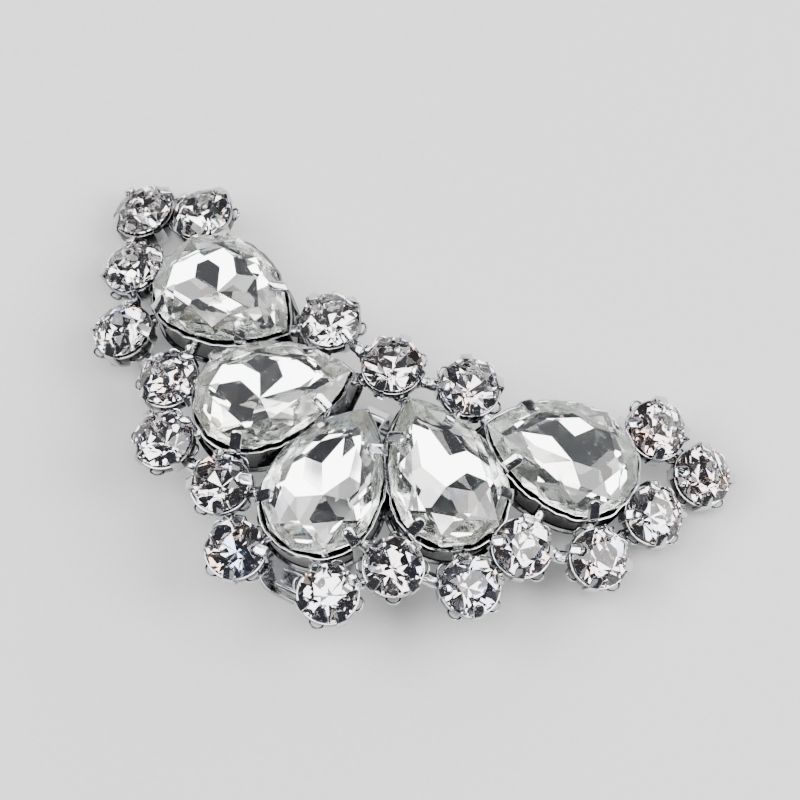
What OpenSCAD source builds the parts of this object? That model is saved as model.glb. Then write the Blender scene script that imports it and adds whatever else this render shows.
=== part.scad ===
// Crystal shoe buckle: five pear stones and nineteen round stones in claw settings, soldered side by
// side into an arched crescent, with a folded clip underneath. Lengths in millimetres, angles in degrees.
// X runs along the chord of the crescent, Y towards its hollow side, Z up.

/* [Layout] */
// Radius of the bend along the length, which lowers both ends
arch_r = 56; // [54:1:60]
// Radius of the bend across the depth
dome_r = 97; // [90:1:110]
// Distance from the middle pear's centre to the highest line of the bend
dome_y = 7.6; // [7:0.1:8]
// Distance from the middle pear's centre to the middle of the whole depth
middle_y = 4.9; // [4:0.1:6]
// Height of the highest girdle line above the surface that the buckle lies on
crown_z = 10.65; // [10.6:0.05:11.2]

/* [Pear stones] */
// Length from the round end to the tip
pear_len = 14; // [13.6:0.1:14]
// Width across the round end
pear_w = 10; // [9.6:0.1:10]
// Height of the crown above the girdle
pear_crown = 1.2; // [1.1:0.05:1.2]
// Depth of the pavilion below the girdle
pear_pavilion = 2.2; // [2:0.1:2.6]
// Height of the girdle
pear_girdle = 0.2; // [0.1:0.05:0.3]
// Size of the table as a share of the stone
pear_table = 0.66; // [0.58:0.01:0.66]
// Distance of the culet from the middle of the length, towards the round end
pear_culet = 1.2; // [0.6:0.1:1.6]

/* [Round stones] */
// Diameter
round_d = 5.2; // [5:0.1:5.2]
// Height of the crown above the girdle
round_crown = 0.95; // [0.8:0.05:1.1]
// Depth of the pavilion below the girdle
round_pavilion = 2.4; // [2.2:0.1:2.5]
// Height of the girdle
round_girdle = 0.12; // [0.08:0.02:0.2]
// Size of the table as a share of the stone
round_table = 0.5; // [0.45:0.01:0.6]

/* [Pear settings] */
// Depth of the tray below the girdle plane
tray_depth = 4; // [3.9:0.1:4.2]
// How far the wall stands outside the stone
tray_out = 0.15; // [0.1:0.01:0.18]
// Thickness of the wall
tray_wall = 0.4; // [0.35:0.01:0.45]
// Thickness of the floor
tray_floor = 0.35; // [0.3:0.05:0.4]
// Depth of the wall's top edge below the girdle plane
tray_top = 0.5; // [0.45:0.01:0.6]
// Width of the foot edge round the floor
tray_foot = 0.3; // [0.2:0.05:0.4]
// Width of a claw
pear_claw_w = 1; // [0.8:0.05:1.1]
// Thickness of a claw
pear_claw_t = 0.33; // [0.3:0.01:0.36]
// Length of the stretch of a claw that is bent over the crown, measured flat
pear_claw_over = 1.4; // [1:0.1:1.6]
// Slope of that stretch
pear_claw_lean = 35; // [34:1:38]
// Clearance between a claw and the stone's edge
pear_claw_clear = 0.1; // [0.08:0.01:0.12]

/* [Round settings] */
// Depth of the cup below the girdle plane
cup_depth = 3.1; // [3:0.1:3.3]
// Radius of the cup's base
cup_base_r = 1.6; // [1.4:0.1:1.8]
// How far the cup's upper wall stands outside the stone
cup_out = 0.1; // [0.08:0.01:0.12]
// Radial thickness of the cup's top edge
cup_wall = 0.2; // [0.18:0.01:0.24]
// Depth of the cup's top edge below the girdle plane
cup_top = 0.35; // [0.3:0.01:0.45]
// Depth at which the cup starts to narrow
cup_shoulder = 1.2; // [1:0.1:1.4]
// Radius of the ears' rounded ends
ear_r = 0.72; // [0.6:0.01:0.8]
// How far the ears stand outside the stone
ear_out = 0.7; // [0.5:0.05:0.8]
// Height of an ear's sheet
ear_t = 0.25; // [0.2:0.01:0.3]
// How much an ear rises from its root to its edge
ear_rise = 0.5; // [0.3:0.05:0.6]
// Width of a claw
round_claw_w = 0.95; // [0.8:0.05:1]
// Thickness of a claw
round_claw_t = 0.3; // [0.25:0.01:0.32]
// Length of the stretch of a claw that is bent over the crown, measured flat
round_claw_over = 0.95; // [0.8:0.05:1]
// Slope of that stretch
round_claw_lean = 37; // [36:1:40]
// Clearance between a claw and the stone's edge
round_claw_clear = 0.06; // [0.05:0.01:0.08]

/* [Solder joints] */
// Radius of a joint
joint_r = 0.42; // [0.35:0.01:0.5]
// Depth of a joint below the girdle plane
joint_depth = 1.6; // [1.4:0.1:1.8]

/* [Clip] */
// Thickness of the jaws
clip_t = 0.6; // [0.5:0.05:0.6]
// How much thinner the spring neck is on each side
neck_thinning = 0.04; // [0.02:0.01:0.08]
// Width of the two jaws
clip_w = 7.4; // [7:0.1:7.6]
// Width of the spring neck between the jaws
neck_w = 2; // [1.8:0.1:2.4]
// Radius of the jaws' outer corners
clip_corner_r = 2.4; // [1.5:0.1:2.6]
// Gap between the clip and the tray above it
clip_gap = 0.1; // [0.08:0.01:0.15]
// Length of the two ribs across the lower jaw
rib_len = 3; // [2:0.1:4]
// Height of the ribs
rib_h = 0.2; // [0.1:0.05:0.2]

/* [Hidden] */
$fn = 96;
// A little more than nothing, so that shapes that meet also overlap
bite = 0.05;

// The pear outline: a round end, and two long arcs that meet in the tip
pear_r = pear_w / 2;
pear_round_y = pear_r - pear_len / 2;
tip_reach = pear_len - pear_r;
side_r = (tip_reach * tip_reach + pear_r * pear_r) / pear_w;
side_x = pear_r - side_r;
tip_facing = asin(tip_reach / side_r);

// Directions that the rim faces at the stations round a stone. The even stations are the middles of
// the main facets, the odd ones lie between them. A claw stands at a main facet.
PEAR_FACING = [-90, -58, -25, -8, 10, 23, 36, 48, 90, 132, 144, 157, 170, 188, 205, 238];
PEAR_CLAWS = [-25, 36, 144, 205];
ROUND_FACING = [for (i = [0 : 15]) i * 22.5];
ROUND_CLAWS = [0, 90, 180, 270];
// Heights of a claw: its foot, the wall's edge that its root stays below, and its bend
PEAR_CLAW_HEIGHTS = [-2.6, -tray_top - 0.1, 0.2];
ROUND_CLAW_HEIGHTS = [-1.6, -cup_top - 0.1, 0.16];
// How far a claw's root and an ear's root reach inwards, into the wall
claw_root = 0.2;
ear_root = 0.2;
// Depth of an ear's root below the girdle plane
ear_depth = 1.35;
// How far up the crown, or down a round stone's pavilion, two neighbouring main facets part
crown_knee = 0.55;
pavilion_knee = 0.28;
// Corners of a pear stone's pavilion, as shares of the way in from the rim: where two rings of kites
// meet on a main station, where two inner kites part, and where an outer kite ends
ring_in = 0.56;
ring_knee = 0.36;
ring_out = 0.22;
// Depth at which the two rings of kites meet, as a share of the pavilion
ring_depth = 0.8;
// Place of the culet under the girdle plane
pear_focus = [0, -pear_culet];

// Pear settings of the left half and the middle. Columns: x, y, turn of the tip
PEARS_HALF = [
    [-16.3, 12.1, -100.6],
    [-8.2, 5.2, -50.9]
];
PEARS = concat(PEARS_HALF, [[0, 0, 0]], [for (i = [1, 0]) mirrored(PEARS_HALF[i])]);

// Round settings of the outer row, from the left end to the middle. Columns: x, y
OUTER_HALF = [
    [-22.2, 18.8],
    [-27.3, 17.5],
    [-25.4, 11.9],
    [-23.2, 5.8],
    [-17.2, 2.9],
    [-14.9, -2.4],
    [-8.4, -4.2],
    [-4.5, -8.9]
];
OUTER = concat(OUTER_HALF, [for (i = [7 : -1 : 0]) mirrored(OUTER_HALF[i])]);
// Round settings of the inner row, left to right. Columns: x, y
INNER = [
    [-6.8, 13.3],
    [0, 11.9],
    [6.8, 13.3]
];
ROUNDS = concat(OUTER, INNER);
// Turn of each round setting's claws
ROUND_TURNS = [-16, -31, 30, 8, -22, -37, 26, 16, -37, -19, 43, 20, 15, 36, 28, 23, -27, 2, 35];

// Solder joints of the right half. Columns: x, y, direction, length
JOINTS = [
    [24.8, 18.2, -13, 1.4],
    [26.4, 14.7, 71, 1.9],
    [24.3, 8.9, 70, 2.4],
    [20.3, 4.3, 26, 2.8],
    [16.1, 0.2, 66, 1.6],
    [11.7, -3.3, 16, 2.7],
    [6.5, -6.6, 50, 1.9],
    [3.3, 12.5, 9, 2.6],
    [21, 16.6, 60, 1.3],
    [23, 12.1, -5, 1.4],
    [21.5, 8.2, 125, 2],
    [17.3, 6.4, 88, 2.8],
    [14.6, 3.1, -4, 1.5],
    [13, -0.3, 132, 1.9],
    [8.9, -1.3, 80, 1.7],
    [5.4, -3.4, 165, 2.2],
    [2.9, -6.5, 124, 1.8],
    [9.6, 11.8, -22, 2],
    [6.6, 10.3, 88, 1.3],
    [2.3, 9.9, -41, 2],
    [11.7, 8.8, 40, 1.4],
    [3.9, 3, 33, 1.3]
];

// The clip follows the middle pear's tray, which leans by this angle
clip_lean = lean_x([0, 0]);
// Where the jaws end, measured from the middle pear's centre
upper_jaw_end = -7;
lower_jaw_end = -8.1;
jaw_root = 4.2;
fold_y = 6.2;
// Plane of the upper jaw's top, measured down from the girdle plane
clip_top = tray_depth + clip_gap;
// Outer radius of the fold, which runs from the tray down to the surface below
fold_r = (crown_z + dome_z([0, 0]) + fold_y * sin(clip_lean) - clip_top * cos(clip_lean))
    / (1 + cos(clip_lean));
fold_centre = [
    fold_y * cos(clip_lean) + (clip_top + fold_r) * sin(clip_lean),
    fold_r
];
// Ribs across the lower jaw: distances from its free end
RIBS = [0.7, 2.2];
rib_w = 0.4;

round_names = [for (i = [1 : len(ROUNDS)]) str("round_stone_", i < 10 ? "0" : "", i)];
pear_names = [for (i = [1 : len(PEARS)]) str("pear_stone_", i)];

// A row of a table on the other side of the middle
function mirrored(row) = len(row) == 3 ? [-row[0], row[1], -row[2]] : [-row[0], row[1]];

// Height of the bent girdle surface below its highest line, and its leans at a place
function dome_z(p) = -(p[0] * p[0] / arch_r + pow(p[1] - dome_y, 2) / dome_r) / 2;
function dome_slope(p) = [p[0] / arch_r, (p[1] - dome_y) / dome_r];
function lean_x(p) = -asin(dome_slope(p)[1] / norm(concat(dome_slope(p), 1)));
function lean_y(p) = atan(dome_slope(p)[0]);

// Sets its children on the bent surface, square to it, and turned about its normal
module on_dome(p, turn) {
    translate([p[0], p[1] - middle_y, crown_z + dome_z(p)])
        rotate([lean_x(p), lean_y(p), 0])
            rotate([0, 0, turn])
                children();
}

// Point of the pear outline, grown outwards, where it faces the given direction
function pear_point(facing) =
    let (a = facing > 90 ? 180 - facing : facing)
    let (side = facing > 90 ? -1 : 1)
    a <= 0 ? [side * pear_r * cos(a), pear_round_y + pear_r * sin(a)]
    : a < tip_facing ? [side * (side_x + side_r * cos(a)), pear_round_y + side_r * sin(a)]
    : [0, pear_len / 2];

// Rim of a stone. Columns: x, y, direction that it faces
pear_rim = [for (a = PEAR_FACING) [pear_point(a)[0], pear_point(a)[1], a]];
round_rim = [for (a = ROUND_FACING) [round_d / 2 * cos(a), round_d / 2 * sin(a), a]];

// A rim point moved a share of the way to the focus, the point that all main facets lean towards
function moved_in(p, focus, share) = [p[0], p[1]] + share * (focus - [p[0], p[1]]);
// How far out the main facet of a rim point still reaches there, along its own direction
function reach(p, focus, share) = moved_in(p, focus, share) * [cos(p[2]), sin(p[2])];
// Where the main facets of two rim points cross at that height
function knee(p, q, focus, share) =
    let (rp = reach(p, focus, share))
    let (rq = reach(q, focus, share))
    [rp * sin(q[2]) - rq * sin(p[2]), rq * cos(p[2]) - rp * cos(q[2])] / sin(q[2] - p[2]);

// A flat ring of points lifted to a height
function at_height(points, z) = [for (p = points) [p[0], p[1], z]];
// The point above or below p in the plane through three corners
function in_plane(a, b, c, p) =
    let (across = cross(b - a, c - a))
    [p[0], p[1], a[2] - (across[0] * (p[0] - a[0]) + across[1] * (p[1] - a[1])) / across[2]];

// Rim points at the main stations
function mains(rim) = [for (i = [0 : 2 : len(rim) - 1]) rim[i]];
// Knees between each main station and the next
function knees(rim, focus, share) =
    let (main_rim = mains(rim))
    let (count = len(main_rim))
    [for (i = [0 : count - 1]) knee(main_rim[i], main_rim[(i + 1) % count], focus, share)];

// Corners of a stone's girdle, crown and table, with the girdle plane at zero
function upper_corners(rim, focus, girdle, crown, table) = concat(
    at_height(rim, girdle / 2),
    at_height(rim, -girdle / 2),
    at_height(knees(rim, focus, crown_knee * (1 - table)), girdle / 2 + crown_knee * crown),
    at_height([for (p = mains(rim)) moved_in(p, focus, 1 - table)], girdle / 2 + crown)
);

// Corners of a round stone's pavilion, where each main facet runs from the girdle to the culet
function round_lower_corners() = concat(
    at_height(knees(round_rim, [0, 0], pavilion_knee), -round_girdle / 2 - pavilion_knee * round_pavilion),
    [[0, 0, -round_girdle / 2 - round_pavilion]]
);

// Corners of a pear stone's pavilion, which has two rings of flat kites round the culet
function pear_lower_corners() =
    let (culet = concat(pear_focus, -pear_girdle / 2 - pear_pavilion))
    let (main_rim = mains(pear_rim))
    let (count = len(main_rim))
    let (inner = at_height([for (p = main_rim) moved_in(p, pear_focus, ring_in)],
        -pear_girdle / 2 - ring_depth * pear_pavilion))
    let (flat_knees = knees(pear_rim, pear_focus, ring_knee))
    let (between = [for (i = [0 : count - 1])
        in_plane(culet, inner[i], inner[(i + 1) % count], flat_knees[i])])
    let (outer = [for (i = [0 : count - 1])
        in_plane(inner[i], between[(i + count - 1) % count], between[i],
            moved_in(main_rim[i], pear_focus, ring_out))])
    concat(inner, between, outer, [culet]);

// Cut stone with these corners. It bulges all over, so its facets follow from its corners.
module cut_stone(corners) {
    hull() polyhedron(corners, [[for (i = [0 : len(corners) - 1]) i]]);
}

module pear_stone(i) {
    color([0.93, 0.95, 0.98])
        on_dome(PEARS[i], PEARS[i][2])
            cut_stone(concat(
                upper_corners(pear_rim, pear_focus, pear_girdle, pear_crown, pear_table),
                pear_lower_corners()));
}

module round_stone(i) {
    color([0.9, 0.93, 0.98])
        on_dome(ROUNDS[i], ROUND_TURNS[i])
            cut_stone(concat(
                upper_corners(round_rim, [0, 0], round_girdle, round_crown, round_table),
                round_lower_corners()));
}

// Solid with the pear outline, grown outwards, between two heights
module pear_slab(grow, bottom, top) {
    translate([0, pear_round_y, bottom]) linear_extrude(top - bottom) {
        circle(pear_r + grow);
        intersection() {
            translate([side_x, 0]) circle(side_r + grow);
            translate([-side_x, 0]) circle(side_r + grow);
            translate([-pear_w, 0]) square([2 * pear_w, pear_len]);
        }
    }
}

// Claw at the place where x is zero at the stone's edge and grows outwards. It is rooted in the wall,
// stands clear of the girdle and leans in over the crown to a rounded end.
module claw(width, thick, clear, heights, over, lean) {
    foot_z = heights[0];
    seat_z = heights[1];
    bend_z = heights[2];
    elbow_z = bend_z + thick * (1 - sin(lean)) / cos(lean);
    end = [clear - over, bend_z + over * tan(lean)];
    profile = [
        [-claw_root, foot_z],
        [clear + thick, foot_z],
        [clear + thick, elbow_z],
        end + thick * [sin(lean), cos(lean)],
        end,
        [clear, bend_z],
        [clear, seat_z],
        [-claw_root, seat_z]
    ];
    intersection() {
        rotate([90, 0, 0]) linear_extrude(width, center = true) polygon(profile);
        translate([0, 0, foot_z - bite]) linear_extrude(2 * bite + end[1] + thick - foot_z) {
            translate([end[0] + width / 2, 0]) circle(width / 2);
            translate([end[0] + width / 2, -width / 2]) square([over + thick + claw_root, width]);
        }
    }
}

module pear_setting() {
    difference() {
        union() {
            pear_slab(tray_out, -tray_depth, -tray_top);
            pear_slab(tray_out + tray_foot, -tray_depth, -tray_depth + tray_floor);
        }
        pear_slab(tray_out - tray_wall, -tray_depth + tray_floor, 0);
    }
    for (a = PEAR_CLAWS) {
        translate(pear_point(a)) rotate([0, 0, a])
            claw(pear_claw_w, pear_claw_t, pear_claw_clear, PEAR_CLAW_HEIGHTS, pear_claw_over,
                pear_claw_lean);
    }
}

module round_setting() {
    stone_r = round_d / 2;
    wall_r = stone_r + cup_out;
    floor_z = -cup_depth + 2 * cup_wall;
    ear_z = -ear_depth;
    ear_h = ear_rise + 2 * ear_t;
    rotate_extrude() polygon([
        [0, -cup_depth],
        [cup_base_r, -cup_depth],
        [wall_r, -cup_shoulder],
        [wall_r, -cup_top],
        [wall_r - cup_wall, -cup_top],
        [cup_base_r - cup_wall, floor_z],
        [0, floor_z]
    ]);
    for (a = ROUND_CLAWS) {
        rotate([0, 0, a]) translate([stone_r, 0, 0])
            claw(round_claw_w, round_claw_t, round_claw_clear, ROUND_CLAW_HEIGHTS, round_claw_over,
                round_claw_lean);
    }
    intersection() {
        rotate_extrude() polygon([
            [stone_r - ear_root, ear_z - ear_t],
            [stone_r + ear_out, ear_z + ear_rise],
            [stone_r + ear_out, ear_z + ear_rise + ear_t],
            [stone_r - ear_root, ear_z]
        ]);
        for (a = ROUND_CLAWS) {
            rotate([0, 0, a + 45]) translate([stone_r + ear_out - ear_r, 0, ear_z - ear_t - bite])
                cylinder(h = ear_h + 2 * bite, r = ear_r);
        }
    }
}

module solder_joint(length) {
    translate([0, 0, -joint_depth]) rotate([0, 90, 0])
        cylinder(h = length, r = joint_r, center = true);
}

// All settings and the joints that hold them together: one soldered piece
module setting_frame() {
    color([0.78, 0.79, 0.81]) {
        for (row = PEARS) {
            on_dome(row, row[2]) pear_setting();
        }
        for (i = [0 : len(ROUNDS) - 1]) {
            on_dome(ROUNDS[i], ROUND_TURNS[i]) round_setting();
        }
        for (row = JOINTS) {
            on_dome([row[0], row[1]], row[2]) solder_joint(row[3]);
            on_dome([-row[0], row[1]], 180 - row[2]) solder_joint(row[3]);
        }
    }
}

// Side view of the clip, with y to the right and z up: upper jaw, fold and lower jaw
module clip_side() {
    start = [0, crown_z + dome_z([0, 0])];
    translate(start) rotate(clip_lean)
        translate([upper_jaw_end, -clip_top - clip_t]) square([fold_y - upper_jaw_end, clip_t]);
    translate([lower_jaw_end, 0]) square([fold_centre[0] - lower_jaw_end, clip_t]);
    translate(fold_centre) intersection() {
        difference() {
            circle(fold_r - neck_thinning);
            circle(fold_r - clip_t + neck_thinning);
        }
        for (lean = [0, clip_lean]) {
            rotate(lean) translate([-bite, -2 * fold_r]) square([2 * fold_r, 4 * fold_r]);
        }
    }
}

// Top view of the clip: jaws with rounded free corners, and the narrow neck behind them
module clip_top_view() {
    inner_w = clip_w - 2 * clip_corner_r;
    for (side = [-1, 1]) {
        translate([side * inner_w / 2, lower_jaw_end + clip_corner_r]) circle(clip_corner_r);
    }
    translate([-inner_w / 2, lower_jaw_end]) square([inner_w, clip_w]);
    translate([-clip_w / 2, lower_jaw_end + clip_corner_r])
        square([clip_w, jaw_root - lower_jaw_end - clip_corner_r]);
    translate([-neck_w / 2, 0]) square([neck_w, 2 * fold_y]);
}

module shoe_clip() {
    color([0.7, 0.71, 0.74]) translate([0, -middle_y, 0]) {
        intersection() {
            rotate([90, 0, 90]) linear_extrude(clip_w + 1, center = true) clip_side();
            translate([0, 0, -1]) linear_extrude(crown_z) clip_top_view();
        }
        for (from_end = RIBS) {
            translate([-rib_len / 2, lower_jaw_end + from_end, clip_t - bite])
                cube([rib_len, rib_w, rib_h + bite]);
        }
    }
}

setting_frame();
shoe_clip();
for (i = [0 : len(PEARS) - 1]) {
    pear_stone(i);
}
for (i = [0 : len(ROUNDS) - 1]) {
    round_stone(i);
}
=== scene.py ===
# %% [markdown]
# # A crystal shoe buckle in Blender
# This lesson dresses a measured model of a shoe buckle: five pear stones and nineteen round stones in
# claw settings, soldered side by side into an arched crescent, with a folded clip underneath.
# The measured model, called the frame, comes first. It fixes every size and place, so each new piece
# is made where the frame says and nothing is fitted by eye.

# %% Load the frame
import math
import random
import bmesh
import bpy
from mathutils import Matrix, Vector


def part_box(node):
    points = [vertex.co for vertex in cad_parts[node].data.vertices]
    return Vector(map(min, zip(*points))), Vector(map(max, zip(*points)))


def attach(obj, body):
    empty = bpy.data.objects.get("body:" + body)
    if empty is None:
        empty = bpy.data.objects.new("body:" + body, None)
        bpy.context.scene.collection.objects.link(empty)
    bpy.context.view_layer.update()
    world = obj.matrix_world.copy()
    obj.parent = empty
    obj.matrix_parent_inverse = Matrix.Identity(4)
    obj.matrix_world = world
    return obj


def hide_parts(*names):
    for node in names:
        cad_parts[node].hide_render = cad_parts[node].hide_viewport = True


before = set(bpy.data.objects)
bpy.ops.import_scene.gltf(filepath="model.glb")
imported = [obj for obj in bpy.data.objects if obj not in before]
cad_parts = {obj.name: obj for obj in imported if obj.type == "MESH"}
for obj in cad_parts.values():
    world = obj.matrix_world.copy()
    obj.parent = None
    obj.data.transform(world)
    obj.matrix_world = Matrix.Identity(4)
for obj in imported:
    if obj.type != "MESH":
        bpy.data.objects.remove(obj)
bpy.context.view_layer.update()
print("nodes of the frame:", len(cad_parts))

# %% [markdown]
# ## Working in millimetres
# The scene is in metres, and a claw is a third of a millimetre thick. Some of Blender's tools take
# points that lie within a tenth of a millimetre for one point, which would spoil a claw made at its
# real size. Each piece is therefore shaped a thousand times too large, where 1 unit stands for 1 mm,
# and scaled down last.

# %% Scale
MM = 0.001
print("metres in a bench unit:", MM)

# %% [markdown]
# ## Where each setting sits
# The buckle is bent like a shallow dome: a long bend lowers its two ends, and a weaker one crosses its
# depth. A setting stands square to that surface. The layout lists the left half and the middle, because
# the right half mirrors the left. Only the turns of the round settings differ from side to side.

# %% Layout
# Radius of the long bend, then radius and ridge of the weak one
ARCH_R = 56.0
DOME_R = 97.0
DOME_Y = 7.6
# Y of the outline's middle, where the frame's origin is, and height of the ridge
MIDDLE_Y = 4.9
CROWN_Z = 10.65

# Columns: x, y, and for a pear its turn in degrees
PEARS_HALF = [(-16.3, 12.1, -100.6), (-8.2, 5.2, -50.9)]
PEARS = PEARS_HALF + [(0.0, 0.0, 0.0)] + [(-x, y, -t) for x, y, t in reversed(PEARS_HALF)]
OUTER_HALF = [
    (-22.2, 18.8), (-27.3, 17.5), (-25.4, 11.9), (-23.2, 5.8),
    (-17.2, 2.9), (-14.9, -2.4), (-8.4, -4.2), (-4.5, -8.9),
]
OUTER = OUTER_HALF + [(-x, y) for x, y in reversed(OUTER_HALF)]
INNER = [(-6.8, 13.3), (0.0, 11.9), (6.8, 13.3)]
ROUNDS = OUTER + INNER
ROUND_TURNS = [-16, -31, 30, 8, -22, -37, 26, 16, -37, -19, 43, 20, 15, 36, 28, 23, -27, 2, 35]


def turn(degrees, axis):
    """A rotation in degrees."""
    return Matrix.Rotation(math.radians(degrees), 4, axis)


def on_dome(x, y, degrees):
    """Place of a setting on the bent surface, turned about its own normal."""
    slope_x = x / ARCH_R
    slope_y = (y - DOME_Y) / DOME_R
    height = CROWN_Z - (x * slope_x + (y - DOME_Y) * slope_y) / 2
    lean_x = -math.degrees(math.asin(slope_y / math.sqrt(slope_x ** 2 + slope_y ** 2 + 1)))
    lean_y = math.degrees(math.atan(slope_x))
    spot = Matrix.Translation((x, y - MIDDLE_Y, height))
    return spot @ turn(lean_y, "Y") @ turn(lean_x, "X") @ turn(degrees, "Z")


PEAR_NAMES = [f"pear_stone_{i + 1}" for i in range(len(PEARS))]
ROUND_NAMES = [f"round_stone_{i + 1:02d}" for i in range(len(ROUNDS))]
pear_spots = [on_dome(*row) for row in PEARS]
round_spots = [on_dome(*row, degrees) for row, degrees in zip(ROUNDS, ROUND_TURNS)]
worst = 0.0
for name, spot in zip(ROUND_NAMES, round_spots):
    low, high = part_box(name)
    worst = max(worst, ((low + high).xy / 2 / MM - spot.translation.xy).length)
print("round settings:", len(round_spots), "- furthest from its stone in mm:", round(worst, 2))

# %% [markdown]
# ## Camera
# The photo was taken from far off with a long lens, so it shows next to no perspective. The camera
# looks down steeply, 67.7 degrees above the horizon, from a little to the right of straight on.
# One millimetre is 11.7 pixels wide in the frame of 800 pixels.

# %% Camera
PHOTO_AZIMUTH = math.radians(27.19)
PHOTO_ELEVATION = math.radians(67.67)
PHOTO_DISTANCE = 988 * MM
PHOTO_SIZE = 800
PIXELS_PER_MM = 11.7
# A point in the round half of the middle pear, and where it lies in the picture
KNOWN_POINT = Vector((0, -9.33, 10.65)) * MM
KNOWN_PIXEL = (305.1, 520.8)
# Width of the film in millimetres
SENSOR = 36.0

side = Vector((math.cos(PHOTO_AZIMUTH), math.sin(PHOTO_AZIMUTH), 0))
back = Vector((
    math.sin(PHOTO_AZIMUTH) * math.cos(PHOTO_ELEVATION),
    -math.cos(PHOTO_AZIMUTH) * math.cos(PHOTO_ELEVATION),
    math.sin(PHOTO_ELEVATION),
))
above = back.cross(side)
pixel = MM / PIXELS_PER_MM
aim = KNOWN_POINT + side * (PHOTO_SIZE / 2 - KNOWN_PIXEL[0]) * pixel
aim = aim + above * (KNOWN_PIXEL[1] - PHOTO_SIZE / 2) * pixel
camera_data = bpy.data.cameras.new("photo_camera")
camera_data.sensor_width = SENSOR
camera_data.lens = SENSOR * PHOTO_DISTANCE / (PHOTO_SIZE * pixel)
camera = bpy.data.objects.new("photo_camera", camera_data)
bpy.context.scene.collection.objects.link(camera)
camera.matrix_world = Matrix.Translation(aim + back * PHOTO_DISTANCE) @ Matrix(
    (side, above, back)).transposed().to_4x4()
bpy.context.scene.camera = camera
print("lens in mm:", round(camera_data.lens, 1))

# %% [markdown]
# ## Floor
# The floor is a pale matt board. A plane is enough for it, as it isn't part of the buckle.

# %% Floor
# Side of the board in metres, which fills the picture from every angle
FLOOR_SIZE = 6


def clear_the_bench():
    """Goes back to object mode with nothing selected."""
    if bpy.context.object and bpy.context.object.mode != "OBJECT":
        bpy.ops.object.mode_set(mode="OBJECT")
    bpy.ops.object.select_all(action="DESELECT")


clear_the_bench()
bpy.ops.mesh.primitive_plane_add(size=FLOOR_SIZE, location=(0, 0, 0))
floor = bpy.context.object
floor.name = "floor"
print("floor in metres:", round(floor.dimensions.x, 1))

# %% [markdown]
# ## Light
# Cut glass only sparkles when it sees bright things next to dark ones. One huge white sky would turn
# every facet the same white. So the surroundings are dim, bright softboxes hang on both sides, right
# above and low at the back, and fainter panels between them give the light grey facets. The tables of
# the pears mirror what hangs high at the back, so only faint panels hang there, or a grey veil would
# lie over the stones. Nothing bright hangs low in front, which leaves the front claws dark.

# %% Softboxes
WORLD_GREY = (0.056, 0.06, 0.067, 1.0)
LIT_POINT = Vector((0, 0, 6 * MM))
# Columns: name, azimuth and elevation in degrees, distance, width and height in metres, brightness
SOFTBOXES = [
    ("right_softbox", 73, 50, 0.62, 0.30, 0.42, 10.0),
    ("left_softbox", 240, 53, 0.60, 0.40, 0.26, 10.0),
    ("top_softbox", 170, 79, 0.62, 0.28, 0.22, 10.0),
    ("side_softbox", 121, 45, 0.62, 0.12, 0.10, 9.0),
    ("back_softbox", 5, 16, 0.70, 0.50, 0.20, 8.0),
    ("low_softbox", 300, 6, 0.66, 0.30, 0.10, 6.0),
    ("corner_softbox", 40, 29, 0.66, 0.34, 0.18, 3.0),
    ("left_fill", 270, 38, 0.66, 0.34, 0.34, 0.5),
    ("back_left_fill", 325, 50, 0.68, 0.46, 0.38, 0.7),
    ("back_right_fill", 25, 50, 0.68, 0.40, 0.36, 1.2),
    ("front_fill", 155, 22, 0.68, 0.44, 0.20, 0.7),
]
world = bpy.data.worlds.new("dim_studio")
world.use_nodes = True
world.node_tree.nodes["Background"].inputs["Color"].default_value = WORLD_GREY
world.node_tree.nodes["Background"].inputs["Strength"].default_value = 1.0
bpy.context.scene.world = world
for name, azimuth, elevation, distance, width, height, brightness in SOFTBOXES:
    panel_data = bpy.data.lights.new(name, "AREA")
    panel_data.shape = "RECTANGLE"
    panel_data.size = width
    panel_data.size_y = height
    panel_data.energy = brightness * math.pi * width * height
    panel = bpy.data.objects.new(name, panel_data)
    bpy.context.scene.collection.objects.link(panel)
    around, up = math.radians(azimuth), math.radians(elevation)
    away = Vector((math.sin(around) * math.cos(up), math.cos(around) * math.cos(up), math.sin(up)))
    facing = away.to_track_quat("Z", "Y").to_matrix().to_4x4()
    panel.matrix_world = Matrix.Translation(LIT_POINT + away * distance) @ facing
print("softboxes:", len(SOFTBOXES))

# %% [markdown]
# ## Bounces
# Light is thrown to and fro many times between silvering and glass before it leaves a stone. Blender
# gives up early to save time, which can leave a stone too dark, so it is allowed more bounces here.

# %% Bounces
STONE_BOUNCES = 16
paths = bpy.context.scene.cycles
paths.max_bounces = STONE_BOUNCES
paths.glossy_bounces = STONE_BOUNCES
paths.transmission_bounces = STONE_BOUNCES
print("bounces:", STONE_BOUNCES)

# %% [markdown]
# ## Tools for the bench
# All sheet metal here is shaped in edit mode with Blender's own operators, as one would by hand:
# extrude, inset, spin and bevel. In a script the mouse can't click on the right face, so a rule picks
# what an operator acts on, such as all faces that look up. Polished metal has no knife edge, so each
# finished shape has its sharp edges rounded, and a highlight runs along them.

# %% Tools for shaping
# Points closer than this are one point, in bench units as all that follows
SAME_POINT = 0.002
# What is closer than this to a line or plane counts as on it
NEAR = 0.01
# A face looks a certain way if this share of its normal does
FACING = 0.9


def take(*pieces):
    """Selects these pieces, the first one active."""
    clear_the_bench()
    for piece in pieces:
        piece.select_set(True)
    bpy.context.view_layer.objects.active = pieces[0]
    return pieces[0]


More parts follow.
